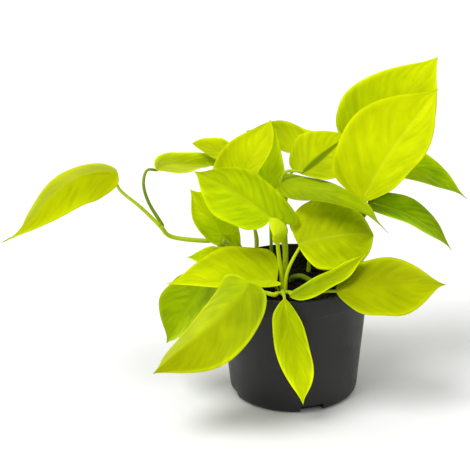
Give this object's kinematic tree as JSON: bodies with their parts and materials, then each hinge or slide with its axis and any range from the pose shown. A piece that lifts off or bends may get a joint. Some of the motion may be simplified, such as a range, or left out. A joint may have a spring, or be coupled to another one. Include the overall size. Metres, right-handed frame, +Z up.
{
  "type": "potted golden pothos plant",
  "caption": "Bushy pothos with pointed heart-shaped lime-green leaves on green stems, rooted in soil in a dark round plastic nursery pot.",
  "frame": {"origin": "middle of the pot's flat underside, on the surface that the pot stands on", "axes": "+Z up along the pot's axis; -Y is the side that the picture was taken from, with the long vine leaf towards -X and the tallest leaves towards +X"},
  "size_m": [0.3285, 0.1846, 0.231],
  "materials": {
    "pot_plastic": "dark charcoal, satin",
    "potting_soil": "crumbly, nearly black, rough",
    "green_stem": "smooth yellow green",
    "lime_leaf": "smooth, waxy sheen, lime to yellow green"
  },
  "bodies": {
    "root": {"pot": "pot_plastic", "soil": "potting_soil", "stem_centre": "green_stem", "stem_front": "green_stem", "stem_left": "green_stem", "stem_right": "green_stem", "leaf_far_left": "lime_leaf", "leaf_upper_left": "lime_leaf", "leaf_back_left": "lime_leaf", "leaf_top_left": "lime_leaf", "leaf_top_mid": "lime_leaf", "leaf_top_back": "lime_leaf", "leaf_mid_back": "lime_leaf", "leaf_centre_left": "lime_leaf", "leaf_mid_left": "lime_leaf", "leaf_inner_left": "lime_leaf", "leaf_small_left": "lime_leaf", "leaf_over_rim_left": "lime_leaf", "leaf_hanging_left": "lime_leaf", "leaf_front_left": "lime_leaf", "leaf_front_hanging": "lime_leaf", "leaf_front_folded": "lime_leaf", "leaf_front_right": "lime_leaf", "leaf_centre_right": "lime_leaf", "leaf_mid_narrow": "lime_leaf", "leaf_large_right": "lime_leaf", "leaf_tall_back": "lime_leaf", "leaf_right_back": "lime_leaf", "leaf_right_low": "lime_leaf", "leaf_rear_right": "lime_leaf", "leaf_rear_left": "lime_leaf"}
  },
  "joints": []
}
